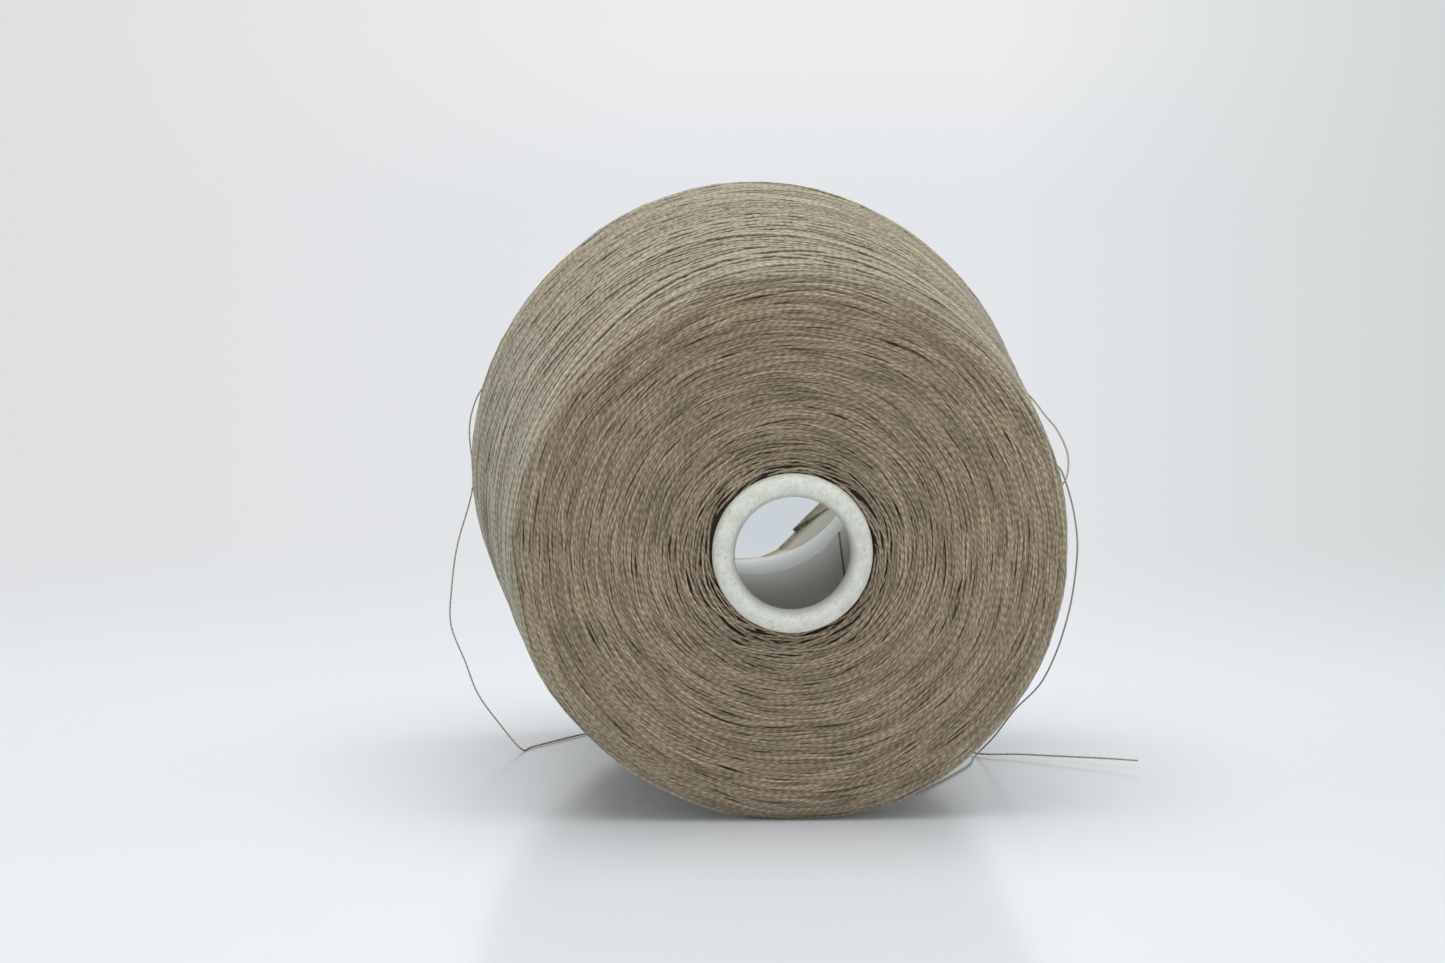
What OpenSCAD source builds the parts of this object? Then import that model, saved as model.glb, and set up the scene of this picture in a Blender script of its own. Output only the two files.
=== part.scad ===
// Cross-wound cone of yarn on a tapered paper tube, lying on its side.
// Millimetres, +Z up. The axis runs along +Y and climbs by the package's own taper, so that the
// lowest line of the winding lies along Y on z = 0. The small end (the nose) points to -Y.
// Inside each round piece, s is the distance from the nose's tip along the axis.

/* [Paper tube] */
// Length of the tube along its axis
tube_length = 175; // [165:1:185]
// Outside diameter of the rolled nose lip
nose_d = 33; // [32.6:0.1:34.5]
// Bore of the nose lip
nose_bore_d = 24; // [22.5:0.1:24.6]
// Length of the straight land inside the nose lip
nose_land = 2; // [2:0.1:5]
// Half angle of the tube's taper in degrees
taper = 5.95; // [5.7:0.05:6.1]
// Thickness of the board
board = 1.8; // [1.5:0.1:2]

/* [Inner plies] */
// Thickness of each inner ply
ply = 0.3; // [0.2:0.05:0.4]
// Distance from the nose's tip to the light ply's far edge
light_ply_end = 162.4; // [150:0.1:163]
// Distance from the nose's tip to the grey ply's far edge
grey_ply_end = 116.4; // [100:0.1:140]
// Gap between a ply and what it lies against
ply_gap = 0.05; // [0.03:0.01:0.1]
// Width of the grey ply's lapped seam, in degrees round the axis
seam_lap = 9; // [5:1:14]
// Direction of the seam, in degrees below the right-hand side seen from the nose
seam_at = 36; // [20:1:50]

/* [Pressed-in rim] */
// How far the base rim is pressed in at its middle
dent_depth = 4.5; // [2:0.1:5.5]
// Length of the pressed-in stretch, measured from the base edge
dent_length = 12.3; // [11:0.1:12.4]
// Direction of the pressed-in side, in degrees below the right-hand side seen from the nose
dent_at = 45; // [30:1:60]
// How far the rim's torn inner layers curl in from there
curl_depth = 0.95; // [0.5:0.05:1.2]
// Where along the pressed-in rim the curl starts, from its middle
curl_start = 7.6; // [5:0.1:10]

/* [Yarn package] */
// Diameter of the winding at its nose rim
nose_rim_d = 116.3; // [100:0.1:124]
// Distance from the nose's tip to the nose rim
nose_rim_at = 7; // [6.6:0.1:12]
// Length of the winding from rim to rim along the axis
traverse = 129.4; // [115:0.1:135]
// Radius of the package's rounded shoulders
shoulder = 3.4; // [2:0.1:5]
// How much further back the nose face lies at the tube than at its shoulder
face_dish = 0.2; // [0:0.1:2]
// Gap between the tube and the yarn wound on it
tube_gap = 0.15; // [0.1:0.01:0.3]

/* [Outer strands] */
// Width that the yarn takes up on the package, fluffed and pressed flat
strand_d = 0.7; // [0.5:0.05:0.9]
// Double strokes of the guide, there and back, that the outer strand makes
double_stroke_count = 10; // [4:1:10]
// Turns of the package in one double stroke
turns_per_stroke = 2.3; // [2.3, 1.9, 2.1]
// Gap left between the inner and the outer strands where they cross
strand_gap = 0.65; // [0.6:0.05:0.8]
// Least gap between the inner strands and the core
core_gap = 0.25; // [0.1:0.05:0.4]

/* [Loose yarn] */
// Diameter of the yarn where it hangs free
yarn_d = 0.4; // [0.3:0.05:0.5]

/* [Hidden] */
$fn = 96;
big = 400;
past = 20;
overrun = 1;

taper_slope = tan(taper);

// ---- tube: every radius follows from these, so whatever fits the tube keeps fitting it
lip_r = (nose_d - nose_bore_d) / 4;
function tube_r(s) = nose_d / 2 + (s - lip_r) * taper_slope;
function board_in_r(s) = tube_r(s) - board;
function light_out_r(s) = board_in_r(s) - ply_gap;
function light_in_r(s) = light_out_r(s) - ply;
function grey_out_r(s) = light_in_r(s) - ply_gap;
function grey_in_r(s) = grey_out_r(s) - ply;
lip_end = lip_r + nose_land;
ply_inset = 1;
least_slot = 0.2;
ply_start = lip_end + ply_inset;
lap_start = ply_start + ply;
lap_end = grey_ply_end - ply;

// ---- package: the outer strands reach out to package_r, and the core lies just below them
sides = 24;
half_side = 180 / sides;
layer_step = strand_d + strand_gap;
function package_r(s) = nose_rim_d / 2 + (s - nose_rim_at) * taper_slope;
function outer_layer_r(s) = package_r(s) - strand_d / 2;
function inner_layer_r(s) = outer_layer_r(s) - layer_step;
function core_r(s) = inner_layer_r(s) * cos(half_side) - strand_d / 2 - core_gap;
base_rim_at = nose_rim_at + traverse;

// ---- how the package lies: the outer strands' lowest chords all touch the floor
foot_slope = taper_slope * cos(half_side);
tilt = atan(foot_slope);
foot_cut = strand_d / 10;
foot_r0 = outer_layer_r(0) * cos(half_side) + strand_d / 2;
nose_z = foot_r0 * cos(tilt) - foot_cut;

// ---- how far the piece reaches along Y, to put the origin in the middle of its length
front_reach = (core_r(nose_rim_at) - shoulder) * sin(tilt) + shoulder - nose_rim_at * cos(tilt);
back_reach = tube_length * cos(tilt) + tube_r(tube_length) * sin(tilt);
nose_y = (front_reach - back_reach) / 2;

module lie() {
    translate([0, nose_y, nose_z]) rotate([tilt - 90, 0, 0]) children();
}

// A round solid under the line r = f(s), from s0 to s1, as a cone frustum
module frustum(s0, r0, s1, r1) {
    translate([0, 0, s0]) cylinder(h = s1 - s0, r1 = r0, r2 = r1);
}

// ---- paper tube -------------------------------------------------------------------------
// Everything on the near side of a plane that presses the rim in. The plane starts at the
// given length from the base edge and is at its full depth there.
module press_plane(at, depth, length, inset) {
    s0 = tube_length - length;
    x0 = tube_r(s0) - inset;
    x1 = tube_r(tube_length) - depth - inset;
    slope = (x1 - x0) / length;
    rotate([0, 0, at]) rotate([90, 0, 0]) translate([0, 0, -big / 2])
        linear_extrude(big) polygon([[-big, -past], [x0 - slope * (s0 + past), -past],
                                     [x1 + slope * past, tube_length + past],
                                     [-big, tube_length + past]]);
}

// The pressed-in rim has one flat in the middle and a shallower one on each side of it
side_flat_at = 21;
side_flat_depth = dent_depth / 4;
side_flat_length = dent_length / 2;
module dent_side(inset) {
    intersection() {
        press_plane(dent_at, dent_depth, dent_length, inset);
        press_plane(dent_at - side_flat_at, side_flat_depth, side_flat_length, inset);
        press_plane(dent_at + side_flat_at, side_flat_depth, side_flat_length, inset);
    }
}

// The board's torn inner layers, a wedge that widens along the pressed-in rim. Its narrow end
// stands at curl_start, its wide end lies inside the wall, and it is left out of the hollow.
curl_narrow = 0.6;
curl_wide = 9;
curl_end = -20;
curl_overrun = 1.2;
module rim_curl() {
    rim_x = tube_r(tube_length) - board - dent_depth;
    slope = dent_depth / dent_length - taper_slope;
    curl_x = rim_x - curl_depth;
    back_x = rim_x + board;
    function section(y, wide) = [
        [curl_x + curl_overrun * (curl_depth + slope * wide), y, tube_length - curl_overrun * wide],
        [curl_x, y, tube_length],
        [curl_x, y, tube_length + past],
        [back_x, y, tube_length + past],
        [back_x + slope * wide, y, tube_length - curl_overrun * wide]];
    rotate([0, 0, dent_at]) polyhedron(
        concat(section(curl_end, curl_wide), section(curl_start, curl_narrow)),
        [[0, 1, 2, 3, 4], [9, 8, 7, 6, 5], [0, 5, 6], [0, 6, 1], [1, 6, 7, 2], [2, 7, 8, 3],
         [3, 8, 9], [3, 9, 4], [4, 9, 5, 0]]);
}

// The board turned in on itself at the nose, with a narrow slot behind the roll
lip_facets = 32;
module nose_lip() {
    roll_r = nose_d / 2 - lip_r;
    slot_r = max(least_slot, lip_r - board);
    rotate_extrude() difference() {
        union() {
            translate([roll_r, lip_r]) circle(lip_r, $fn = lip_facets);
            translate([roll_r - lip_r, lip_r]) square([lip_r, nose_land]);
            polygon([[roll_r, lip_r], [tube_r(lip_r), lip_r], [tube_r(lip_end), lip_end],
                     [roll_r, lip_end]]);
        }
        translate([roll_r, lip_r]) circle(slot_r, $fn = lip_facets);
        translate([roll_r - slot_r, lip_r]) square([2 * slot_r, past]);
    }
}

module tube_wall() {
    difference() {
        intersection() {
            frustum(lip_r, tube_r(lip_r), tube_length, tube_r(tube_length));
            dent_side(0);
        }
        difference() {
            intersection() {
                frustum(0, board_in_r(0), tube_length + overrun, board_in_r(tube_length + overrun));
                dent_side(board);
            }
            rim_curl();
        }
    }
}

module paper_tube() {
    color("gainsboro") lie() {
        nose_lip();
        tube_wall();
    }
}

module light_ply() {
    color("lightsteelblue") lie() difference() {
        frustum(ply_start, light_out_r(ply_start), light_ply_end, light_out_r(light_ply_end));
        frustum(ply_start - overrun, light_in_r(ply_start - overrun),
                light_ply_end + overrun, light_in_r(light_ply_end + overrun));
    }
}

// The innermost ply, with the strip where its edge laps over itself
module grey_ply() {
    color("dimgray") lie() {
        difference() {
            frustum(ply_start, grey_out_r(ply_start), grey_ply_end, grey_out_r(grey_ply_end));
            frustum(ply_start - overrun, grey_in_r(ply_start - overrun),
                    grey_ply_end + overrun, grey_in_r(grey_ply_end + overrun));
        }
        rotate([0, 0, seam_at]) rotate_extrude(angle = seam_lap)
            polygon([[grey_in_r(lap_start) - ply, lap_start], [grey_out_r(lap_start) - ply / 2, lap_start],
                     [grey_out_r(lap_end) - ply / 2, lap_end], [grey_in_r(lap_end) - ply, lap_end]]);
    }
}

// ---- yarn package -----------------------------------------------------------------------
// Half of the core's section: dished nose face, rounded shoulders, tapered side, base face
module core_section() {
    face_s = nose_rim_at - shoulder;
    back_s = base_rim_at + shoulder;
    near_r = core_r(nose_rim_at);
    far_r = core_r(base_rim_at);
    union() {
        polygon([[tube_r(face_s + face_dish) + tube_gap, face_s + face_dish],
                 [near_r - shoulder, face_s], [near_r - shoulder, nose_rim_at],
                 [near_r, nose_rim_at], [far_r, base_rim_at], [far_r - shoulder, base_rim_at],
                 [far_r - shoulder, back_s], [tube_r(back_s) + tube_gap, back_s]]);
        translate([near_r - shoulder, nose_rim_at]) circle(shoulder);
        translate([far_r - shoulder, base_rim_at]) circle(shoulder);
    }
}

module yarn_package() {
    color("tan") lie() rotate_extrude() core_section();
}

// The outer strand: one unbroken yarn that the guide carries to and fro. It climbs onto the
// outer layer at each turn by the base rim and drops back to the inner one by the nose rim.
// The guide's motion is a zigzag, and guide_ratio below 1 rounds its corners.
edge_room = 1.5;
stroke_mid = (nose_rim_at + base_rim_at) / 2;
stroke_half = traverse / 2 - edge_room;
guide_ratio = 0.96;
climb_ratio = 9;
strand_rings = floor(double_stroke_count * turns_per_stroke * sides);
strand_sides = 6;
function wave(p) = asin(guide_ratio * cos(p)) / asin(guide_ratio);
function layer(p) = 0.5 - 0.5 * max(-1, min(1, climb_ratio * sin(p)));
function strand_s(p) = stroke_mid - stroke_half * wave(p);
function strand_r(p) = inner_layer_r(strand_s(p)) + layer_step * layer(p);
function strand_point(k) =
    let (turn = (k + 0.5) * 360 / sides, p = k * 360 / sides / turns_per_stroke, r = strand_r(p))
    [r * cos(turn), r * sin(turn), strand_s(p)];
strand_points = [for (k = [0 : strand_rings]) strand_point(k)];

function unit(v) = v / norm(v);
function ring(c, ahead, out, r, n) =
    let (t = unit(ahead), u = unit(out - (out * t) * t), w = cross(t, u))
    [for (i = [0 : n - 1]) c + r * (cos(360 * i / n) * u + sin(360 * i / n) * w)];

// A closed tube through the points, with its rings turned to face "out"
module swept(points, outs, r, n) {
    last = len(points) - 1;
    rings = [for (k = [0 : last])
        ring(points[k], points[min(last, k + 1)] - points[max(0, k - 1)], outs[k], r, n)];
    polyhedron([for (one = rings) each one],
        concat([[for (i = [n - 1 : -1 : 0]) i]],
               [for (k = [0 : last - 1], i = [0 : n - 1])
                    [k * n + i, k * n + (i + 1) % n, (k + 1) * n + (i + 1) % n]],
               [for (k = [0 : last - 1], i = [0 : n - 1])
                    [k * n + i, (k + 1) * n + (i + 1) % n, (k + 1) * n + i]],
               [[for (i = [0 : n - 1]) last * n + i]]));
}

module outer_strands() {
    color("rosybrown") difference() {
        lie() swept(strand_points, [for (q = strand_points) [q.x, q.y, 0]], strand_d / 2, strand_sides);
        translate([-big / 2, -big / 2, -big]) cube([big, big, big]);
    }
}

// Least gap of the strand to itself. Every turn passes each direction, so a stretch is only
// compared with the stretches of the other turns that point the same way, or one side over.
function to_segment(q, a, b) =
    let (d = b - a, t = max(0, min(1, (q - a) * d / (d * d)))) norm(q - a - t * d);
parallel = 0.000001;
function segment_gap(a, b, c, d) =
    let (u = b - a, v = d - c, w = a - c, n = cross(u, v), nn = n * n,
         s = nn < parallel ? -1 : cross(v, w) * n / nn,
         t = nn < parallel ? -1 : cross(u, w) * n / nn,
         ends = min(to_segment(a, c, d), to_segment(b, c, d),
                    to_segment(c, a, b), to_segment(d, a, b)))
    s > 0 && s < 1 && t > 0 && t < 1 ? min(ends, abs(w * n) / sqrt(nn)) : ends;
function strand_gap_found() =
    min([for (k = [0 : strand_rings - sides - 2], m = [k + sides : sides : strand_rings - 2],
              j = [m - 1 : m + 1])
         segment_gap(strand_points[k], strand_points[k + 1],
                     strand_points[j], strand_points[j + 1])]) - strand_d;

// ---- loose yarn -------------------------------------------------------------------------
// Points of each free stretch, from where it leaves the package
upper_slack_points = [[50.8, -52.6, 90.1], [52.9, -54, 90.2], [55, -57, 87.7], [56.6, -62, 84.6],
                      [58, -67, 82], [59.1, -71.5, 78.4], [59.2, -74.5, 75.5],
                      [58.3, -77.3, 72.2], [56.6, -77.9, 69.9], [54.7, -77.4, 69.7]];
lower_slack_points = [[53.7, -76.1, 74.4], [55.8, -76.3, 74.6], [57.3, -76.1, 73.6],
                      [59.2, -74.4, 69.4], [61.3, -70.5, 63.8], [63.1, -65, 56.5],
                      [64, -56.5, 47.2], [64.3, -47.2, 38.9], [63.6, -37.2, 29.9],
                      [62, -26.2, 21.6], [59, -10.2, 13.6], [56, 1.8, 5.4], [52, 4.8, 0.4],
                      [47, -12.2, 0.3], [30, -48.2, 0.3], [20.5, -58, 2.2], [18.2, -58.6, 5.2]];
yarn_tail_points = [[-66.2, 43.4, 88.7], [-68.7, 44.6, 89.7], [-71.3, 47.2, 85.2],
                    [-72.6, 47.8, 78.1], [-71.7, 46.8, 64.5], [-75.6, 43.8, 49.4], [-77, 40.8, 38],
                    [-77, 37.8, 29.5], [-73.2, 31.8, 21], [-69.8, 27.8, 13.2], [-64.2, 22.8, 6.3],
                    [-58.6, 18.8, 0.5], [-55.6, 25.8, 0.3], [-40, 49.8, 0.3], [-20, 65.8, 0.3],
                    [8, 69.8, 0.3], [32, 55.8, 0.3], [46, 29.8, 0.3], [52, 7.8, 0.5],
                    [62, 2.8, 0.9], [71, -3.2, 1.3], [80, -9.2, 1.7], [87.6, -15.2, 2]];

// Rings in each stretch between two points
upper_steps = 1;
lower_steps = 2;
tail_steps = 2;

// A smooth curve through the points, with so many steps in each stretch, kept off the floor
function spline(p0, p1, p2, p3, t) =
    0.5 * ((2 * p1) + (p2 - p0) * t + (2 * p0 - 5 * p1 + 4 * p2 - p3) * t * t
           + (3 * p1 - p0 - 3 * p2 + p3) * t * t * t);
function lifted(p) = [p.x, p.y, max(p.z, yarn_d / 2)];
function smooth_route(pts, steps) =
    let (last = len(pts) - 1)
    [for (i = [0 : last - 1], j = [0 : steps - 1])
         lifted(spline(pts[max(0, i - 1)], pts[i], pts[i + 1], pts[min(last, i + 2)], j / steps)),
     lifted(pts[last])];
function sum(v) = [for (x = v) 1] * v;
function route_length(pts) = sum([for (i = [1 : len(pts) - 1]) norm(pts[i] - pts[i - 1])]);

// cord_side only turns the rings, and no stretch of loose yarn runs along it
cord_side = [0.3, 0.2, 1];
cord_facets = 8;
module loose_yarn(pts, steps) {
    route = smooth_route(pts, steps);
    swept(route, [for (q = route) cord_side], yarn_d / 2, cord_facets);
}

module upper_slack() {
    color("darkkhaki") loose_yarn(upper_slack_points, upper_steps);
}

module lower_slack() {
    color("darkkhaki") loose_yarn(lower_slack_points, lower_steps);
}

module yarn_tail() {
    color("darkkhaki") loose_yarn(yarn_tail_points, tail_steps);
}

echo(least_gap_of_the_outer_strand = strand_gap_found(), turns = strand_rings / sides);  // outer_strands
echo(tilt = tilt, nose_y = nose_y, nose_z = nose_z,
         upper = route_length(smooth_route(upper_slack_points, upper_steps)),
         lower = route_length(smooth_route(lower_slack_points, lower_steps)),
         tail = route_length(smooth_route(yarn_tail_points, tail_steps)));
paper_tube();
light_ply();
grey_ply();
yarn_package();
outer_strands();
upper_slack();
lower_slack();
yarn_tail();
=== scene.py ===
# %% [markdown]
# # A cone of yarn on its side
#
# A spinning mill sells yarn wound on a tapered paper tube. The winder carries the yarn to and fro
# while the tube turns, so every layer crosses the one below it. This lesson dresses the packed
# model of such a cone: the paper keeps its CAD shape and gets a finish, and the yarn is built
# from real strands.

# %% Load the frame
import math
import random
import bmesh
import bpy
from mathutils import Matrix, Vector, noise


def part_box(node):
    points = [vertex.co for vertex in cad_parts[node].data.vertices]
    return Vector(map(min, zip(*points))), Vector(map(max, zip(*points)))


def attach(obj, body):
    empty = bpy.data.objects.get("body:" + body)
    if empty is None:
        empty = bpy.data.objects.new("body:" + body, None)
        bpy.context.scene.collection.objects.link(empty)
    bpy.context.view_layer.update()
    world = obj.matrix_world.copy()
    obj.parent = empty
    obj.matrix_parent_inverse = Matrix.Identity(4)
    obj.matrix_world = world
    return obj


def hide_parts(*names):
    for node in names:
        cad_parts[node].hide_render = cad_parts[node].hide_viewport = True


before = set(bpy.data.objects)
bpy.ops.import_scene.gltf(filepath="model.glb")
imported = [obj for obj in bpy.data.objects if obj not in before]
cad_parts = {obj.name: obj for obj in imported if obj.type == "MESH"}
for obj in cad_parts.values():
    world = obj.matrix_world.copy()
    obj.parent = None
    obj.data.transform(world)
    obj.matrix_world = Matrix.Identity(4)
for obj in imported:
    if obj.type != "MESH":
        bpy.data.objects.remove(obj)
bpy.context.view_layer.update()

# %% [markdown]
# ## Sizes
#
# A few sizes drive everything, in metres, and they are the ones that the winder is set to. The
# package lies on its side, so its axis climbs from the nose to the base by its own taper. A soft
# package doesn't stay round: it sags on the table and keeps the marks of the hands that moved it.

# %% Sizes of the package and the way it lies
MM = 0.001
TAPER = math.tan(math.radians(5.95))
NOSE_RIM_R = 58.15 * MM
NOSE_RIM_AT = 7.0 * MM
TRAVERSE = 129.4 * MM
BASE_RIM_AT = NOSE_RIM_AT + TRAVERSE
SHOULDER = 4.6 * MM
SHOULDER_FALL = 9.0 * MM
TUBE_NOSE_R = 16.5 * MM
LIP_R = 2.25 * MM
TUBE_LENGTH = 175.0 * MM
# The solids' strand has 24 straight sides to a turn, and the package rests on their middles
STRAND_SIDES = 24
TILT = math.atan(TAPER * math.cos(math.radians(180 / STRAND_SIDES)))

tube_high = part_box("paper_tube")[1]
base_r = TUBE_NOSE_R + (TUBE_LENGTH - LIP_R) * TAPER
nose_y = tube_high[1] - TUBE_LENGTH * math.cos(TILT) - base_r * math.sin(TILT)
nose_z = tube_high[2] - TUBE_LENGTH * math.sin(TILT) - base_r * math.cos(TILT)
NOSE = Vector((0.0, nose_y, nose_z))
ALONG = Vector((0.0, math.cos(TILT), math.sin(TILT)))
UPWARD = Vector((0.0, -math.sin(TILT), math.cos(TILT)))
ACROSS = Vector((1.0, 0.0, 0.0))
print("tilt", round(math.degrees(TILT), 3), "nose tip", [round(v / MM, 2) for v in NOSE])

# How far the yarn stands out of round, all the way round from the right-hand side over the top
OUT_OF_ROUND = [v * MM for v in (0.1, 0.2, -0.1, 0.1, 0.3, 0.3, -0.2, 0.3,
                                 0.9, 0.7, -0.2, -0.3, 0.1, 0.8, 0.6, 0.5)]
# Inside SOLID_R the package stays round, and no strand's middle comes lower than ON_TABLE
SOLID_R = 20 * MM
ON_TABLE = 0.35 * MM


def package_r(s):
    """Radius of the wound package at a distance s behind the nose's tip."""
    return NOSE_RIM_R + (s - NOSE_RIM_AT) * TAPER


def surface_r(s):
    """The same radius with the rounded shoulders, where the yarn turns back."""
    for rim_at, over in ((NOSE_RIM_AT, NOSE_RIM_AT - s), (BASE_RIM_AT, s - BASE_RIM_AT)):
        if over > 0:
            fall = 1 - math.sqrt(max(0.0, 1 - (over / SHOULDER) ** 2))
            return package_r(rim_at) - SHOULDER_FALL * fall
    return package_r(s)


def tube_r(s):
    """Outer radius of the paper tube at s."""
    return TUBE_NOSE_R + (s - LIP_R) * TAPER


def out_of_round(turn):
    """A smooth curve through the values of OUT_OF_ROUND."""
    count = len(OUT_OF_ROUND)
    step = turn / math.tau % 1.0 * count
    i = int(step)
    blend = (1 - math.cos(math.pi * (step - i))) / 2
    here, there = OUT_OF_ROUND[i % count], OUT_OF_ROUND[(i + 1) % count]
    return here + (there - here) * blend


def on_package(radius, turn, s):
    """A point of the lying package. turn is in radians from the right-hand side over the top."""
    softness = min(1.0, max(0.0, (radius - SOLID_R) / (NOSE_RIM_R - SOLID_R)))
    radius += out_of_round(turn) * softness
    point = NOSE + s * ALONG + radius * (math.cos(turn) * ACROSS + math.sin(turn) * UPWARD)
    point.z = max(point.z, ON_TABLE)
    return point


# %% [markdown]
# ## Camera
#
# A long lens stands in front of the nose, a little to the left and a little above the axis, and
# looks slightly down. The camera comes first.

# %% Camera
LENS_PIXELS = 2530.3
FRAME_WIDTH = 1445
SENSOR_WIDTH = 36.0
CAMERA_AT = Vector((-41.8, -603.9, 97.3)) * MM
CAMERA_YAW = math.radians(3.01)
CAMERA_PITCH = math.radians(-2.81)

camera_data = bpy.data.cameras.new("camera")
camera_data.sensor_width = SENSOR_WIDTH
camera_data.lens = LENS_PIXELS * SENSOR_WIDTH / FRAME_WIDTH
camera = bpy.data.objects.new("camera", camera_data)
bpy.context.scene.collection.objects.link(camera)
camera.location = CAMERA_AT
camera.rotation_euler = (math.radians(90) + CAMERA_PITCH, 0.0, -CAMERA_YAW)
bpy.context.scene.camera = camera
print("lens", round(camera_data.lens, 1), "mm")

# %% [markdown]
# ## Yarn as a line with a thickness
#
# Yarn is long and thin, so the easiest way to shape it is to give only its centre line and let a
# round bevel sweep along it. A poly spline keeps every point that the formula gives. The swept
# curve is then made a mesh, and each point of the mesh learns how far along its strand it lies
# and on which side. The finish needs that to follow the twist.


# %% Helpers that make yarn from lines
# The four sides of a strand, in the order in which the bevel puts them round each point
ROUND_A_STRAND = ((1.0, 0.0), (0.0, 1.0), (-1.0, 0.0), (0.0, -1.0))
# Width of the rings that the layers leave, and how patchy one ring is on its way round
RING_WIDTH = 2.6 * MM
RING_PATCHES = 1.2
# Each strand starts at its own place in the twist and in the noise that shades it
TWIST_STARTS = 2 * MM
SHADE_STARTS = 900
MIDDLE_SHADE = 0.5


def yarn_curve(name, lines, width, corners=0, caps=True, shares=None):
    """One curve object with a spline for each line of points. corners 0 gives 4 sides, and
    shares thins the lines one by one. A curve's box reaches out by its points' own radius, so
    that holds the true one, and the bevel keeps it as it is."""
    data = bpy.data.curves.new(name, "CURVE")
    data.dimensions = "3D"
    data.bevel_depth = 1.0
    data.bevel_resolution = corners
    data.use_fill_caps = caps
    for line, share in zip(lines, shares or [1.0] * len(lines)):
        spline = data.splines.new("POLY")
        spline.points.add(len(line) - 1)
        spline.points.foreach_set("co", [v for p in line for v in (p[0], p[1], p[2], 1.0)])
        spline.points.foreach_set("radius", [share * width / 2] * len(line))
    piece = bpy.data.objects.new(name, data)
    bpy.context.scene.collection.objects.link(piece)
    return piece


def as_mesh(piece):
    """The same piece with its curve turned into a mesh."""
    graph = bpy.context.evaluated_depsgraph_get()
    mesh = bpy.data.meshes.new_from_object(piece.evaluated_get(graph))
    name, curve = piece.name, piece.data
    bpy.data.objects.remove(piece)
    bpy.data.curves.remove(curve)
    solid = bpy.data.objects.new(name, mesh)
    bpy.context.scene.collection.objects.link(solid)
    mesh.shade_smooth()
    return solid


def ring_noise(point):
    """Noise that changes from ring to ring round the axis, and only slowly along each ring."""
    away = point - NOSE
    along, across, upward = away.dot(ALONG), away.dot(ACROSS), away.dot(UPWARD)
    out = math.hypot(across, upward)
    return noise.noise(Vector(((out + along) / RING_WIDTH, RING_PATCHES * across / out,
                               RING_PATCHES * upward / out)))


def wound_yarn(name, lines, width, tone_length, rings=0.0, shares=None):
    """A finished piece of wound yarn. Its shade changes over tone_length along each strand, and
    rings is how much it also changes from one ring round the axis to the next."""
    piece = as_mesh(yarn_curve(name, lines, width, caps=False, shares=shares))
    dice = random.Random(name)
    lay, tone = [], []
    for line in lines:
        run, own = dice.uniform(0, TWIST_STARTS), dice.uniform(0, SHADE_STARTS)
        before = line[0]
        for point in line:
            run += (point - before).length
            before = point
            shade = MIDDLE_SHADE + noise.noise(Vector((own + run / tone_length, own, 0.0)))
            shade += rings * ring_noise(point)
            for side in ROUND_A_STRAND:
                lay.extend((run / MM, *side))
                tone.append(shade)
    layer = piece.data.attributes.new("lay", "FLOAT_VECTOR", "POINT")
    layer.data.foreach_set("vector", lay)
    layer = piece.data.attributes.new("tone", "FLOAT", "POINT")
    layer.data.foreach_set("value", tone)
    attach(piece, "root")
    print(name, len(lines), "strands,", 2 * len(piece.data.polygons), "triangles")
    return piece


# %% [markdown]
# ## The loose yarn
#
# Three stretches of the yarn hang free: two slack turns on the right, and the loose end, which
# slips down the left side, runs behind the base along the table and ends cut off at the right.
# Each is a fixed length of limp yarn, 0.4 mm thick. Its route is a list of points given in
# millimetres, and a smooth curve runs through them.

# %% Routes of the loose yarn
YARN_WIDTH = 0.4 * MM
UPPER_SLACK = [(50.8, -52.6, 90.1), (52.9, -54, 90.2), (55, -57, 87.7), (56.6, -62, 84.6),
               (58, -67, 82), (59.1, -71.5, 78.4), (59.2, -74.5, 75.5),
               (58.3, -77.3, 72.2), (56.6, -77.9, 69.9), (54.7, -77.4, 69.7)]
LOWER_SLACK = [(53.7, -76.1, 74.4), (55.8, -76.3, 74.6), (57.3, -76.1, 73.6),
               (59.2, -74.4, 69.4), (61.3, -70.5, 63.8), (63.1, -65, 56.5),
               (64, -56.5, 47.2), (64.3, -47.2, 38.9), (63.6, -37.2, 29.9),
               (62, -26.2, 21.6), (59, -10.2, 13.6), (56, 1.8, 5.4), (52, 4.8, 0.4),
               (47, -12.2, 0.3), (30, -48.2, 0.3), (20.5, -58, 2.2), (18.2, -58.6, 5.2)]
YARN_TAIL = [(-66.2, 43.4, 88.7), (-68.7, 44.6, 89.7), (-71.3, 47.2, 85.2), (-72.6, 47.8, 78.1),
             (-71.7, 46.8, 64.5), (-75.6, 43.8, 49.4), (-77, 40.8, 38), (-77, 37.8, 29.5),
             (-73.2, 31.8, 21), (-69.8, 27.8, 13.2), (-64.2, 22.8, 6.3), (-58.6, 18.8, 0.5),
             (-55.6, 25.8, 0.3), (-40, 49.8, 0.3), (-20, 65.8, 0.3), (8, 69.8, 0.3),
             (32, 55.8, 0.3), (46, 29.8, 0.3), (52, 7.8, 0.5), (62, 2.8, 0.9), (71, -3.2, 1.3),
             (80, -9.2, 1.7), (87.6, -15.2, 2)]
ROUTE_STEPS = 6
LOOSE_CORNERS = 2


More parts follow.
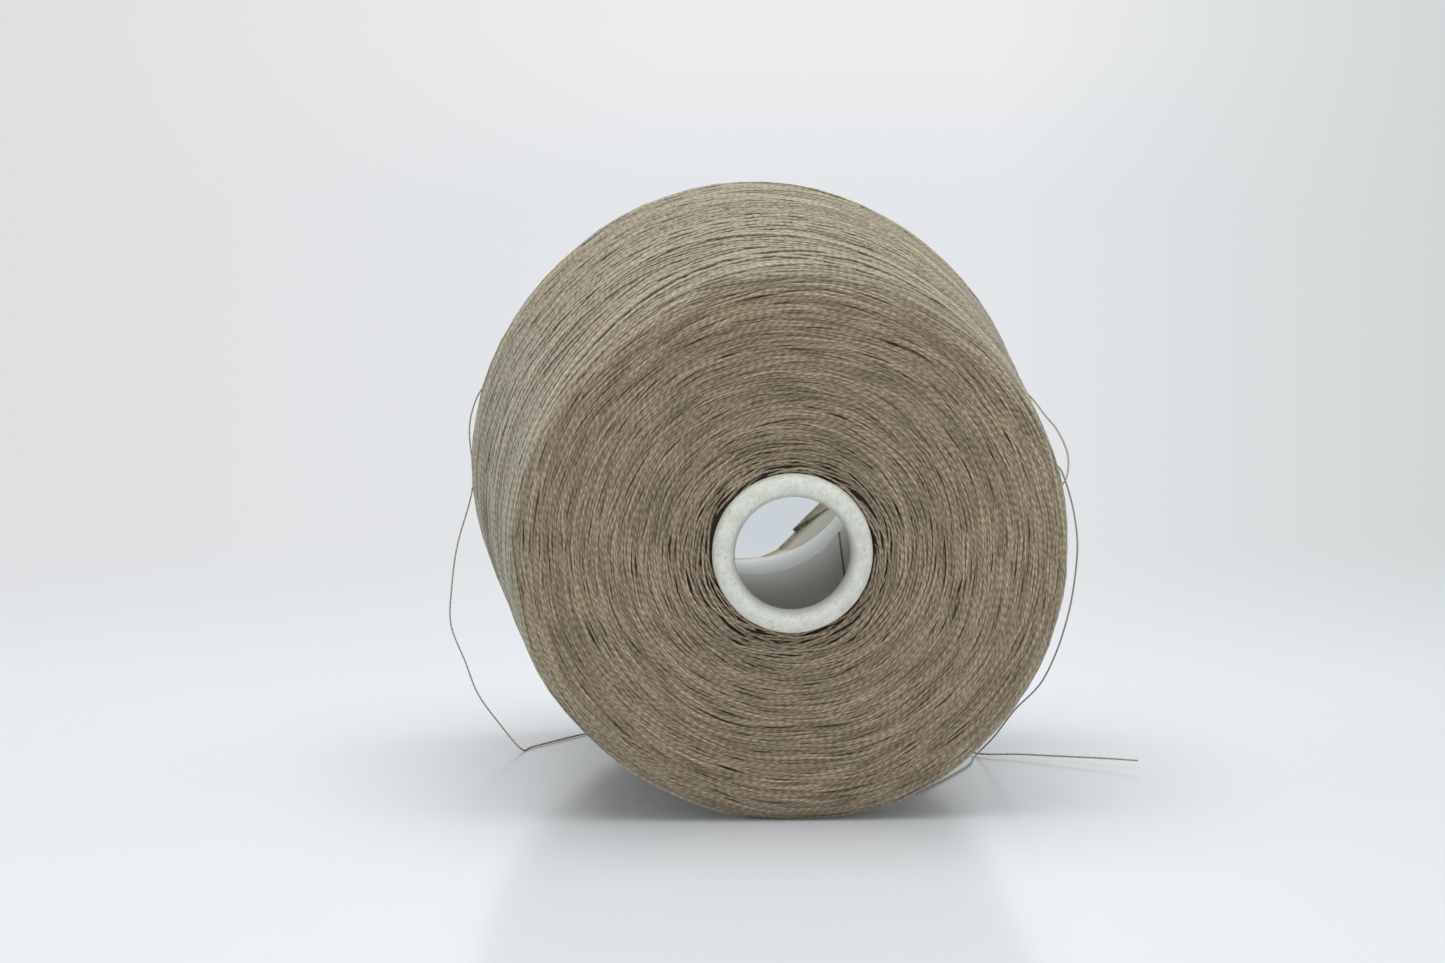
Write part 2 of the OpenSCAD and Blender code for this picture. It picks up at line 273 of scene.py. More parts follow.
def smooth_route(points):
    """A Catmull-Rom curve through the points, in metres, that never dips into the table."""
    route = []
    last = len(points) - 1
    knots = [Vector(p) * MM for p in points]
    for i in range(last):
        before, start = knots[max(0, i - 1)], knots[i]
        end, after = knots[i + 1], knots[min(last, i + 2)]
        for j in range(ROUTE_STEPS):
            t = j / ROUTE_STEPS
            route.append(0.5 * (2 * start + (end - before) * t
                                + (2 * before - 5 * start + 4 * end - after) * t ** 2
                                + (3 * start - before - 3 * end + after) * t ** 3))
    route.append(knots[last])
    for point in route:
        point.z = max(point.z, YARN_WIDTH / 2)
    return route


def loose_yarn(name, cad_name, points):
    """A free stretch of yarn swept along its smoothed route, in place of the CAD part."""
    route = smooth_route(points)
    piece = yarn_curve(name, [route], YARN_WIDTH, corners=LOOSE_CORNERS)
    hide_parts(cad_name)
    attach(piece, "root")
    return piece


# %% Lay the loose yarn
upper_turn = loose_yarn("upper_slack_turn", "upper_slack", UPPER_SLACK)
lower_turn = loose_yarn("lower_slack_turn", "lower_slack", LOWER_SLACK)
loose_end = loose_yarn("loose_end", "yarn_tail", YARN_TAIL)

# %% [markdown]
# ## The core under the strands
#
# Between the outer strands the eye meets the yarn below. A full package is dense, so a plain
# turned body, a little smaller than the package, does for it. It is spun from its profile, with
# rounded shoulders where the yarn turns back, and then pushed out of round like the rest.

# %% Profile of the package
FACE_DISH = 0.1 * MM
SHOULDER_STEPS = 8


def end_profile(base_end):
    """Points (s, r) from the tube, over the face and round the shoulder to the side."""
    rim_at = BASE_RIM_AT if base_end else NOSE_RIM_AT
    outward = 1.0 if base_end else -1.0
    face_at = rim_at + outward * SHOULDER
    tube_at = face_at - outward * FACE_DISH
    centre_r = package_r(rim_at) - SHOULDER_FALL
    points = [(tube_at, tube_r(tube_at)), (face_at, centre_r)]
    for i in range(1, SHOULDER_STEPS + 1):
        angle = math.radians(90) * i / SHOULDER_STEPS
        points.append((rim_at + outward * SHOULDER * math.cos(angle),
                       centre_r + SHOULDER_FALL * math.sin(angle)))
    return points


nose_profile = end_profile(False)
base_profile = end_profile(True)


def profile_lengths(profile):
    """Running length of the profile at each of its points."""
    total = [0.0]
    for (s0, r0), (s1, r1) in zip(profile, profile[1:]):
        total.append(total[-1] + math.hypot(s1 - s0, r1 - r0))
    return total


def on_profile(profile, lengths, u):
    """Point (s, r) and outward direction (s, r) at a running length u. Past the end of the
    shoulder it goes on along the side."""
    outward = -1.0 if profile[-1][0] < TUBE_LENGTH / 2 else 1.0
    u = max(0.0, u)
    if u >= lengths[-1]:
        s = profile[-1][0] - outward * (u - lengths[-1])
        return s, package_r(s), 0.0, 1.0
    i = next(n for n in range(len(lengths) - 1) if u < lengths[n + 1])
    (s0, r0), (s1, r1) = profile[i], profile[i + 1]
    part = lengths[i + 1] - lengths[i]
    t = (u - lengths[i]) / part
    return (s0 + (s1 - s0) * t, r0 + (r1 - r0) * t,
            outward * abs(r1 - r0) / part, abs(s1 - s0) / part)


for end_name, end in (("nose", nose_profile), ("base", base_profile)):
    print(end_name, "profile is", round(profile_lengths(end)[-1] / MM, 1), "mm from tube to side")

# %% Spin the core
CORE_INSET = 1.3 * MM
SPIN_STEPS = 128
MERGE_WITHIN = 0.02 * MM


def spin_core(name):
    """A turned body: the profile's edges are spun once round the package's axis."""
    ends = []
    for profile in (nose_profile, base_profile):
        lengths = profile_lengths(profile)
        line = []
        for u in lengths:
            s, r, out_s, out_r = on_profile(profile, lengths, u)
            line.append((s - out_s * CORE_INSET, r - out_r * CORE_INSET))
        ends.append(line)
    outline = ends[0] + list(reversed(ends[1]))
    bm = bmesh.new()
    ring = [bm.verts.new((r, 0.0, s)) for s, r in outline]
    edges = [bm.edges.new(pair) for pair in zip(ring, ring[1:] + ring[:1])]
    bmesh.ops.spin(bm, geom=ring + edges, cent=(0, 0, 0), axis=(0, 0, 1), angle=math.tau,
                   steps=SPIN_STEPS, use_merge=True)
    bmesh.ops.remove_doubles(bm, verts=bm.verts, dist=MERGE_WITHIN)
    for v in bm.verts:
        v.co = on_package(math.hypot(v.co.x, v.co.y), math.atan2(v.co.y, v.co.x), v.co.z)
    bmesh.ops.recalc_face_normals(bm, faces=bm.faces)
    mesh = bpy.data.meshes.new(name)
    bm.to_mesh(mesh)
    bm.free()
    mesh.shade_smooth()
    piece = bpy.data.objects.new(name, mesh)
    bpy.context.scene.collection.objects.link(piece)
    print(name, len(mesh.polygons), "faces")
    return piece


yarn_core = spin_core("yarn_core")
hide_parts("yarn_package")
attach(yarn_core, "root")

# %% [markdown]
# ## The winding on the side
#
# The yarn guide sweeps from end to end and back while the package turns. One line does it all:
# its place along the axis is a rounded zigzag of its angle. The number of turns in a double
# stroke isn't a whole number, so each stroke falls beside the others, and each lies a little
# higher than the one before. The line is cut into two pieces only to keep each mesh small.

# %% Wind the side
STRAND_WIDTH = 0.64 * MM
TURNS_PER_STROKE = 2.382
STROKES = 210
STEPS_PER_TURN = 70
GUIDE_RATIO = 0.985
# Strokes lie at up to RAISED above the lowest, and the power keeps the high ones rare
RAISED = 0.9 * MM
RAISED_POWER = 3.5
# Strokes end a little short of the rims or past them, by these shares of STROKE_SPREAD
STROKE_SPREAD = 2.6 * MM
SHORTEST, LONGEST = -0.4, 1.0
HAND_OVER = 0.12
# Slow waves to the side, and quicker ones up and down. The lanes keep the two noises apart
SWAY, SWAYS_PER_STEP, SWAY_LANE = 1.3 * MM, 0.03, 3.1
LIFT, LIFTS_PER_STEP, LIFT_LANE = 0.12 * MM, 0.09, 7.7
WINDING_SEED = 11
SIDE_TONE_LENGTH = 130 * MM


def zigzag(phase):
    """A rounded zigzag between -1 and 1, as the guide's motion."""
    return math.asin(GUIDE_RATIO * math.cos(phase)) / math.asin(GUIDE_RATIO)


def stroke_value(values, strokes):
    """The value of the stroke that is being laid, which hands over smoothly where it turns."""
    i = int(strokes)
    blend = min(1.0, (strokes - i) / HAND_OVER)
    return values[i] + (values[i + 1] - values[i]) * blend


def winding():
    """One unbroken line that goes to and fro until the package is full."""
    dice = random.Random(WINDING_SEED)
    laid = range(2 * STROKES + 2)
    heights = [RAISED * (dice.random() ** RAISED_POWER - 1) for _ in laid]
    reaches = [TRAVERSE / 2 + dice.uniform(SHORTEST, LONGEST) * STROKE_SPREAD for _ in laid]
    line = []
    middle = (NOSE_RIM_AT + BASE_RIM_AT) / 2
    for k in range(int(STROKES * TURNS_PER_STROKE * STEPS_PER_TURN) + 1):
        turn = math.tau * k / STEPS_PER_TURN
        phase = turn / TURNS_PER_STROKE
        strokes = phase / math.pi
        half = stroke_value(reaches, strokes + 0.5)
        sway = noise.noise(Vector((k * SWAYS_PER_STEP, SWAY_LANE, 0.0))) * SWAY
        lift = noise.noise(Vector((k * LIFTS_PER_STEP, LIFT_LANE, 0.0))) * LIFT
        s = middle - half * zigzag(phase) + sway * math.sin(phase) ** 2
        height = stroke_value(heights, strokes) - STRAND_WIDTH / 2
        line.append(on_package(surface_r(s) + height + lift, turn, s))
    return line


whole = winding()
cut = len(whole) // 2
under_yarn = wound_yarn("under_yarn", [whole[:cut + 1]], STRAND_WIDTH, SIDE_TONE_LENGTH)
side_yarn = wound_yarn("side_yarn", [whole[cut:]], STRAND_WIDTH, SIDE_TONE_LENGTH)
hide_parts("outer_strands")

# %% [markdown]
# ## The yarn on the two end faces
#
# Each layer turns back at the end of the package, so a face is made of thousands of short bends.
# A bend comes up out of the face, runs round with it for about a centimetre and dives back under
# its neighbours. Near the tube the first layers are looser, with dark gaps between them.

# %% Strands of the end faces
FACE_STRAND = 0.58 * MM
LAYER_STEP = 0.3 * MM
BEND_EVERY = 10.5 * MM
BEND_STEPS = 7
BEND_SHIFT = 0.4
# From the tube outwards the yarn grows tighter, over about this length
LOOSE_ZONE = 4.5 * MM
LOOSE_STEP = 0.5
# The layers end in rings that stand a little higher or lower
RIDGE = 0.22 * MM
MIDDLE_RIDGE = 0.5
# Towards the side the bends tuck in under its strands
TUCK = 0.6 * MM
TUCK_AT_SIDE, TUCK_OVER = 0.6, 8 * MM
# Neighbours lean the same way in patches, and each bend a little by itself
LEAN, LEAN_PATCHES, LEAN_WIDTH = 0.12, 3.5, 7 * MM
OWN_SLOPE, LOOSE_SLOPE = 0.03, 0.1
# Least and most, in millimetres: half a bend's length, how far its ends dive, and its waves
HALF_BEND, DIVE, WAVE = (7.0, 12.0), (0.7, 1.2), (0.04, 0.13)
LOOSE_WAVE, WAVE_LENGTH = 1.5, 1.7 * MM
# How deep a bend may lie, in millimetres, with a power that keeps most of them near the top
DEPTH, DEPTH_POWER, LOOSE_DEPTH = 0.34, 1.5, 1.3
# Shares of the full width, and how much thinner the loosest yarn is
WIDTH_SHARES, LOOSE_THINNER = (0.85, 1.15), 0.3
FACE_TONE_LENGTH, FACE_RINGS = 40 * MM, 0.25


def face_lines(profile, u_from, u_to, seed):
    """The bends of one end face, from one running length of its profile to another, and the
    share of the full width that each of them has."""
    dice = random.Random(seed)
    lengths = profile_lengths(profile)
    lines, shares = [], []
    u = u_from
    while u < u_to:
        r = on_profile(profile, lengths, u)[1]
        loose = math.exp(-u / LOOSE_ZONE)
        tuck = TUCK * max(0.0, min(1.0, (u - lengths[-1]) / TUCK_OVER + TUCK_AT_SIDE))
        count = int(math.tau * r / BEND_EVERY)
        shift = dice.random()
        for j in range(count):
            middle = (j + shift + dice.uniform(-BEND_SHIFT, BEND_SHIFT)) / count * math.tau
            facing = Vector((0.0, math.cos(middle), math.sin(middle)))
            ridge = noise.noise(RING_PATCHES * facing + Vector((u / RING_WIDTH, 0.0, 0.0)))
            lean = noise.noise(LEAN_PATCHES * facing + Vector((u / LEAN_WIDTH + seed, 0.0, 0.0)))
            slope = LEAN * lean + dice.gauss(0, OWN_SLOPE + LOOSE_SLOPE * loose)
            reach = dice.uniform(*HALF_BEND) * MM
            depth = (DEPTH * dice.random() ** DEPTH_POWER
                     + LOOSE_DEPTH * loose * dice.random()) * MM
            depth += tuck + RIDGE * (MIDDLE_RIDGE - ridge)
            dive = dice.uniform(*DIVE) * MM
            wave = dice.uniform(*WAVE) * MM * (1 + LOOSE_WAVE * loose)
            phase = dice.uniform(0, math.tau)
            line = []
            for i in range(BEND_STEPS + 1):
                part = 2 * i / BEND_STEPS - 1
                x = reach * part
                drift = slope * x + wave * math.sin(x / WAVE_LENGTH + phase)
                s, r_here, out_s, out_r = on_profile(profile, lengths, u + drift)
                sink = FACE_STRAND / 2 + depth + dive * part * part
                turn = middle + x / r_here
                line.append(on_package(r_here - out_r * sink, turn, s - out_s * sink))
            lines.append(line)
            shares.append((1 - LOOSE_THINNER * loose) * dice.uniform(*WIDTH_SHARES))
        u += LAYER_STEP * (1 + LOOSE_STEP * loose)
    return lines, shares


def face_yarn(name, profile, u_from, u_to, seed):
    """One mesh of an end face's bends."""
    lines, shares = face_lines(profile, u_from, u_to, seed)
    return wound_yarn(name, lines, FACE_STRAND, FACE_TONE_LENGTH, FACE_RINGS, shares)


FACE_SPLIT = 30 * MM
FACE_END = 48 * MM
FIRST_LAYER = 0.4 * MM
nose_inner_yarn = face_yarn("nose_inner_yarn", nose_profile, FIRST_LAYER, FACE_SPLIT, seed=21)
nose_outer_yarn = face_yarn("nose_outer_yarn", nose_profile, FACE_SPLIT, FACE_END, seed=22)
base_inner_yarn = face_yarn("base_inner_yarn", base_profile, FIRST_LAYER, FACE_SPLIT, seed=23)
base_outer_yarn = face_yarn("base_outer_yarn", base_profile, FACE_SPLIT, FACE_END, seed=24)

# %% [markdown]
# ## Finishes
#
# The yarn is spun from a light and a brown ply, so the two colours run round every strand like
# the stripes of a rope. Each strand carries how far along it every point lies and on which side,
# and a sine of the two follows the twist. The paper keeps to Object coordinates.


# %% Small helpers for shader nodes
def new_material(name):
    """A material with one Principled BSDF, and its node tree and shader."""
    material = bpy.data.materials.new(name)
    material.use_nodes = True
    tree = material.node_tree
    return material, tree, tree.nodes["Principled BSDF"]


def node(tree, kind, inputs=None, **settings):
    """A node with its settings and its inputs, which are sockets or plain values."""
    made = tree.nodes.new(kind)
    for key, value in settings.items():
        setattr(made, key, value)
    for key, value in (inputs or {}).items():
        join(tree, value, made.inputs[key])
    return made


def join(tree, value, slot):
    """Link a socket to the slot, or write a plain value into it."""
    if hasattr(value, "links"):
        tree.links.new(value, slot)
    elif value is not None:
        slot.default_value = value


def math_node(tree, operation, first, second=None, third=None):
    """The output of a Math node."""
    made = node(tree, "ShaderNodeMath", operation=operation)
    for slot, value in zip(made.inputs, (first, second, third)):
        join(tree, value, slot)
    return made.outputs[0]


def mix_colour(tree, factor, first, second, blend="MIX"):
    """The output of a colour mix."""
    return node(tree, "ShaderNodeMix", {0: factor, 6: first, 7: second},
                data_type="RGBA", blend_type=blend).outputs[2]


def ramp(tree, value, low, high, out_low=0.0, out_high=1.0):
    """A Map Range from low..high, clamped at both ends."""
    return node(tree, "ShaderNodeMapRange", {"Value": value, "From Min": low, "From Max": high,
                                             "To Min": out_low, "To Max": out_high}).outputs[0]


def grain(tree, where, scale, detail=2.0, roughness=0.6):
    """Noise between 0 and 1, with its scale in cells per unit of the vector."""
    return node(tree, "ShaderNodeTexNoise", {"Vector": where, "Scale": scale, "Detail": detail,
                                             "Roughness": roughness}).outputs["Fac"]


def vector_value(tree, operation, first, second=None):
    """The number that a Vector Math node gives, such as a length or a distance."""
    made = node(tree, "ShaderNodeVectorMath", {0: first, 1: second}, operation=operation)
    return made.outputs["Value"]


def from_the_nose(tree, where):
    """Object coordinates, counted from the nose's tip."""
    made = node(tree, "ShaderNodeVectorMath", {0: where, 1: NOSE}, operation="SUBTRACT")
    return made.outputs[0]


def along_the_axis(tree, where):
    """Millimetres behind the nose's tip and from the axis, from Object coordinates."""
    shifted = from_the_nose(tree, where)
    along = vector_value(tree, "DOT_PRODUCT", shifted, ALONG)
    whole = vector_value(tree, "LENGTH", shifted)
    squared = math_node(tree, "SUBTRACT", math_node(tree, "MULTIPLY", whole, whole),
                        math_node(tree, "MULTIPLY", along, along))
    out = math_node(tree, "SQRT", squared)
    return math_node(tree, "DIVIDE", along, MM), math_node(tree, "DIVIDE", out, MM)


def paint(red, green, blue):
    """A linear colour from the 0 to 255 values of a paint chart, by the sRGB curve."""
    def linear(v):
        v /= 255
        return v / 12.92 if v <= 0.04045 else ((v + 0.055) / 1.055) ** 2.4
    return (linear(red), linear(green), linear(blue), 1.0)


# %% [markdown]
# ### Marled yarn
#
# The group turns a strand's own coordinates into its colour and its relief: two plies that turn
# round each other, fibres that stray from one to the other, and a slower change of shade.

# %% Group: marled yarn
LIGHT_PLY = paint(200, 183, 154)
BROWN_PLY = paint(128, 105, 83)
# Rare fibres: their colour, where in the noise they start and are full, and their share there
GREEN_FIBRE = (paint(166, 162, 122), 0.66, 0.74, 0.4)
PINK_FIBRE = (paint(176, 142, 120), 0.5, 0.4, 0.25)
DARK_FIBRE = (paint(72, 58, 46), 0.3, 0.22, 0.45)
RARE_SCALE, RARE_DETAIL = 0.7, 1.0
# Millimetres along the strand in which the plies turn once round each other
TWIST = 1.8
TWIST_SHARE = 0.7
# Stray fibres: stretched along the strand, of their own on each, and how far they spread
STREAK = 0.55
OWN_FIBRES = 37.0
STRAY_SCALE, STRAY_DETAIL, STRAY_ROUGHNESS = 1.6, 2.0, 0.7
STRAY_SPREAD, STRAY_RELIEF = 4.0, 0.5
ALL_BROWN, ALL_LIGHT = -0.8, 0.9
# A strand's shade between these two makes it darker or lighter by these factors
SHADE_LOW, SHADE_HIGH = 0.1, 0.9
DARKEST, LIGHTEST = 0.72, 1.28


def build_marl_group():
    """Group from (mm along the strand, two directions across it), a shade and a contrast to
    the yarn's colour and the height of its relief."""
    tree = bpy.data.node_groups.new("Marled yarn", "ShaderNodeTree")
    for name, in_out, kind in (("Lay", "INPUT", "Vector"), ("Shade", "INPUT", "Float"),
                               ("Contrast", "INPUT", "Float"), ("Colour", "OUTPUT", "Color"),
                               ("Height", "OUTPUT", "Float")):
        tree.interface.new_socket(name, in_out=in_out, socket_type="NodeSocket" + kind)
    start = tree.nodes.new("NodeGroupInput")
    end = tree.nodes.new("NodeGroupOutput")
    lay, shade, contrast = start.outputs[:3]
    along, side_a, side_b = node(tree, "ShaderNodeSeparateXYZ", {0: lay}).outputs
    phase = math_node(tree, "MULTIPLY", along, math.tau / TWIST)
    twist = math_node(tree, "ADD",
                      math_node(tree, "MULTIPLY", math_node(tree, "SINE", phase), side_a),
                      math_node(tree, "MULTIPLY", math_node(tree, "COSINE", phase), side_b))
    own = math_node(tree, "MULTIPLY", shade, OWN_FIBRES)
    spot = node(tree, "ShaderNodeCombineXYZ", {0: math_node(tree, "MULTIPLY", along, STREAK),
                                               1: math_node(tree, "ADD", side_a, own),
                                               2: side_b}).outputs[0]
    stray = grain(tree, spot, STRAY_SCALE, STRAY_DETAIL, STRAY_ROUGHNESS)
    spread = math_node(tree, "MULTIPLY_ADD", stray, STRAY_SPREAD, -STRAY_SPREAD / 2)
    plies = math_node(tree, "ADD", math_node(tree, "MULTIPLY", twist, TWIST_SHARE), spread)
    off_middle = math_node(tree, "SUBTRACT", ramp(tree, plies, ALL_BROWN, ALL_LIGHT), 0.5)
    share = math_node(tree, "MULTIPLY_ADD", off_middle, contrast, 0.5)
    colour = mix_colour(tree, share, BROWN_PLY, LIGHT_PLY)
    rare = grain(tree, spot, RARE_SCALE, RARE_DETAIL)
    for fibre, starts, full, most in (GREEN_FIBRE, PINK_FIBRE, DARK_FIBRE):
        colour = mix_colour(tree, ramp(tree, rare, starts, full, 0.0, most), colour, fibre)
    light = ramp(tree, shade, SHADE_LOW, SHADE_HIGH, DARKEST, LIGHTEST)
    grey = node(tree, "ShaderNodeCombineXYZ", {0: light, 1: light, 2: light}).outputs[0]
    tree.links.new(mix_colour(tree, 1.0, colour, grey, "MULTIPLY"), end.inputs[0])
    height = math_node(tree, "ADD", math_node(tree, "ABSOLUTE", twist),
                       math_node(tree, "MULTIPLY", stray, STRAY_RELIEF))
    tree.links.new(height, end.inputs[1])
    return tree


marl_group = build_marl_group()
print("group", marl_group.name, "has", len(marl_group.nodes), "nodes")

# %% Put the group into a yarn's finish
# Loose fibres and a painted sheen grey the yarn's colour towards this light grey, most on the side
# seen at a grazing angle
FUZZ_AND_SHEEN_GREY = paint(196, 204, 196)
FUZZ_AND_SHEEN_SHARE = 0.35
YARN_RELIEF, YARN_RELIEF_DEPTH = 0.6, 0.12 * MM
YARN_ROUGHNESS, YARN_SPECULAR = 0.9, 0.2
SHEEN_ROUGHNESS, SHEEN_TINT = 0.5, paint(208, 226, 222)


def finish_yarn(tree, shader, lay, shade, contrast, fuzz_and_sheen):
    """Dress the shader with the marl group's outputs. The last argument is how much loose fibres
    and a painted sheen grey it, and it also sets the shader's sheen weight.
    """
    marl = node(tree, "ShaderNodeGroup", node_tree=marl_group)
    for slot, value in zip(marl.inputs, (lay, shade, contrast)):
        join(tree, value, slot)
    bump = node(tree, "ShaderNodeBump", {"Strength": YARN_RELIEF * contrast,
                                         "Distance": YARN_RELIEF_DEPTH,
                                         "Height": marl.outputs[1]})
    # Fuzz and painted sheen: the colour is mixed towards a light grey
    sheen_greyed = mix_colour(tree, math_node(tree, "MULTIPLY", fuzz_and_sheen, FUZZ_AND_SHEEN_SHARE), marl.outputs[0], FUZZ_AND_SHEEN_GREY)
    join(tree, sheen_greyed, shader.inputs["Base Color"])
    join(tree, bump.outputs[0], shader.inputs["Normal"])
    join(tree, YARN_ROUGHNESS, shader.inputs["Roughness"])
    join(tree, YARN_SPECULAR, shader.inputs["Specular IOR Level"])
    join(tree, fuzz_and_sheen, shader.inputs["Sheen Weight"])
    join(tree, SHEEN_ROUGHNESS, shader.inputs["Sheen Roughness"])
    join(tree, SHEEN_TINT, shader.inputs["Sheen Tint"])


# %% [markdown]
# ### Wound, loose and deep yarn
#
# Fibres work loose on the side, where hands and machines touch it, and lie flat on the pressed
# faces. So the wound yarn's finish turns fuzzy between the two shoulders, along a ragged edge.
# There its base colour is also painted greyer and lighter, as a painted sheen of the side that
# is seen at a grazing angle.
# The loose yarn is the same yarn on a curve, whose UV map runs along and round it. What shows of
# the core between the strands is yarn in deep shade, which a plain dark finish gives.

# %% Wound yarn
# Shares of fuzz and painted sheen on the pressed faces and on the side
FACE_FUZZ_AND_SHEEN, SIDE_FUZZ_AND_SHEEN = 0.1, 0.5
WOUND_CONTRAST = 0.8
# Millimetres: how ragged the edge of the fuzz and painted sheen is, and where they start and are
# full at the two ends
RAGGED = 1.6
FUZZ_SHEEN_AT_NOSE, FUZZ_SHEEN_AT_BASE = (2.9, 4.8), (140.5, 138.6)
# Strands below the surface get less fuzz and painted sheen: millimetres above the package's cone,
# and shares
FUZZ_SHEEN_LOW_AT, FUZZ_SHEEN_FULL_AT, LOW_FUZZ_SHEEN = -1.1, -0.1, 0.3


def wound_yarn_material():
    """Yarn whose mesh carries its own coordinates. The side is fuzzier than the pressed faces,
    and painted greyer and lighter as a sheen.
    """
    material, tree, shader = new_material("marled_yarn")
    lay = node(tree, "ShaderNodeAttribute", attribute_name="lay").outputs["Vector"]
    tone = node(tree, "ShaderNodeAttribute", attribute_name="tone").outputs["Fac"]
    along, out = along_the_axis(tree, node(tree, "ShaderNodeTexCoord").outputs["Object"])
    ragged = math_node(tree, "MULTIPLY_ADD", tone, RAGGED, -RAGGED / 2)
    past_nose = ramp(tree, math_node(tree, "ADD", along, ragged), *FUZZ_SHEEN_AT_NOSE)
    past_base = ramp(tree, math_node(tree, "SUBTRACT", along, ragged), *FUZZ_SHEEN_AT_BASE)
    side = math_node(tree, "MULTIPLY", past_nose, past_base)
    cone = math_node(tree, "MULTIPLY_ADD", along, TAPER, (NOSE_RIM_R - NOSE_RIM_AT * TAPER) / MM)
    height = math_node(tree, "SUBTRACT", out, cone)
    raised = ramp(tree, height, FUZZ_SHEEN_LOW_AT, FUZZ_SHEEN_FULL_AT, LOW_FUZZ_SHEEN, 1.0)
    side = math_node(tree, "MULTIPLY", side, raised)
    # How much fuzz and painted sheen the yarn gets, from the faces to the side
    fuzz_and_sheen = ramp(tree, side, 0.0, 1.0, FACE_FUZZ_AND_SHEEN, SIDE_FUZZ_AND_SHEEN)
    finish_yarn(tree, shader, lay, tone, WOUND_CONTRAST, fuzz_and_sheen)
    return material


# %% Loose yarn
# The loose yarn's shade and contrast, and its share of fuzz and painted sheen
LOOSE_SHADE, LOOSE_CONTRAST, LOOSE_FUZZ_AND_SHEEN = 0.8, 0.8, 0.5
# The UV map runs from 0 to 1 along each stretch. This makes it millimetres, about right for the
# longest one, so the twist is finer on the two shorter ones
LOOSE_RUN = 300.0


def loose_yarn_material():
    """Yarn swept from a curve, which knows its place along it and round it by its UV map."""
    material, tree, shader = new_material("loose_marled_yarn")
    where = node(tree, "ShaderNodeTexCoord").outputs["UV"]
    along, round_it = node(tree, "ShaderNodeSeparateXYZ", {0: where}).outputs[:2]
    angle = math_node(tree, "MULTIPLY", round_it, math.tau)
    lay = node(tree, "ShaderNodeCombineXYZ", {0: math_node(tree, "MULTIPLY", along, LOOSE_RUN),
                                              1: math_node(tree, "COSINE", angle),
                                              2: math_node(tree, "SINE", angle)}).outputs[0]
    finish_yarn(tree, shader, lay, LOOSE_SHADE, LOOSE_CONTRAST, LOOSE_FUZZ_AND_SHEEN)
    return material


# %% Deep yarn
DEEP_DARK, DEEP_LIGHT = paint(76, 62, 50), paint(112, 95, 78)
DEEP_GRAIN, DEEP_GRAIN_FROM, DEEP_GRAIN_TO = 900.0, 0.35, 0.65
# Near the tube less light comes down to the core, up to these millimetres from the axis
DEEPEST, DEEPEST_FROM, DEEPEST_TO = paint(56, 45, 36), 20.0, 27.0
DEEP_ROUGHNESS = 0.95


def deep_yarn_material():
    """The yarn below, of which little light comes back."""
    material, tree, shader = new_material("yarn_in_shade")
    where = node(tree, "ShaderNodeTexCoord").outputs["Object"]
    mottle = ramp(tree, grain(tree, where, DEEP_GRAIN), DEEP_GRAIN_FROM, DEEP_GRAIN_TO)
    colour = mix_colour(tree, mottle, DEEP_DARK, DEEP_LIGHT)
    out = along_the_axis(tree, where)[1]
    colour = mix_colour(tree, ramp(tree, out, DEEPEST_FROM, DEEPEST_TO), DEEPEST, colour)
    tree.links.new(colour, shader.inputs["Base Color"])
    join(tree, DEEP_ROUGHNESS, shader.inputs["Roughness"])
    return material


# %% Dress the yarn
def dress(pieces, material):
    """Give the pieces one material."""
    for piece in pieces:
        piece.data.materials.clear()
        piece.data.materials.append(material)
    print(material.name, "dresses", ", ".join(piece.name for piece in pieces))


dress((nose_inner_yarn, nose_outer_yarn, base_inner_yarn, base_outer_yarn, side_yarn, under_yarn),
      wound_yarn_material())
dress((upper_turn, lower_turn, loose_end), loose_yarn_material())
dress((yarn_core,), deep_yarn_material())


# %% [markdown]
# ### Paper
#
# Pulp dries unevenly, so paper has soft clouds, short fibres and a few dark specks. The bare
# board inside the tube is browner than the white sheet round the lip, which a mask keeps inside
# the bore. The same colour is painted shade on the lip's inner face, which turns from the light,
# and painted shade darkens the bore towards its far end. The grey ply's lapped edge is a thin
# line of painted shade on the right, drawn with Object coordinates like the rest, because the
# lap itself is hardly a step.

# %% Paper
CLOUD_SCALE, CLOUD_DETAIL, CLOUD_FROM, CLOUD_TO = 260.0, 5.0, 0.6, 0.35
FIBRE_SCALE, FIBRE_DETAIL, FIBRE_FROM, FIBRE_TO = 1300.0, 3.0, 0.45, 0.7
PULP_ROUGHNESS = 0.7
SPECK_SCALE, SPECK_R, SPECK_EDGE = 420.0, 0.08, 0.18
PAPER_ROUGHNESS, PAPER_RELIEF_DEPTH = 0.75, 0.12 * MM
# Millimetres from the axis: a line this far inside the tube's outside parts the bore from the
# rest, and between the two values of LIP_LAND the lip's inner face takes the bare board's
# colour as painted shade, where it turns away from the light
INTO_WALL, SOFT_EDGE = 1.0, 0.1
LIP_LAND, LIP_SHADE_SHARE = (13.4, 12.2), 0.5
# Millimetres behind the nose's tip where the bore turns bare, and where painted shade starts to
# darken it towards its far end
BARE_AT, BORE_END_SHADE_AT = (6.0, 9.0), (170.5, 173.0)
# The colour of the painted shade at the bore's far end
BORE_END_SHADE = paint(86, 74, 60)
# The lapped edge's line of painted shade: its colour, its half width and soft edge in millimetres,
# and how dark it is
SEAM_SHADE = paint(52, 50, 46)
SEAM_SHADE_HALF, SEAM_SHADE_EDGE, SEAM_SHADE_SHARE = 0.16, 0.3, 0.85
SEAM_AT = 36


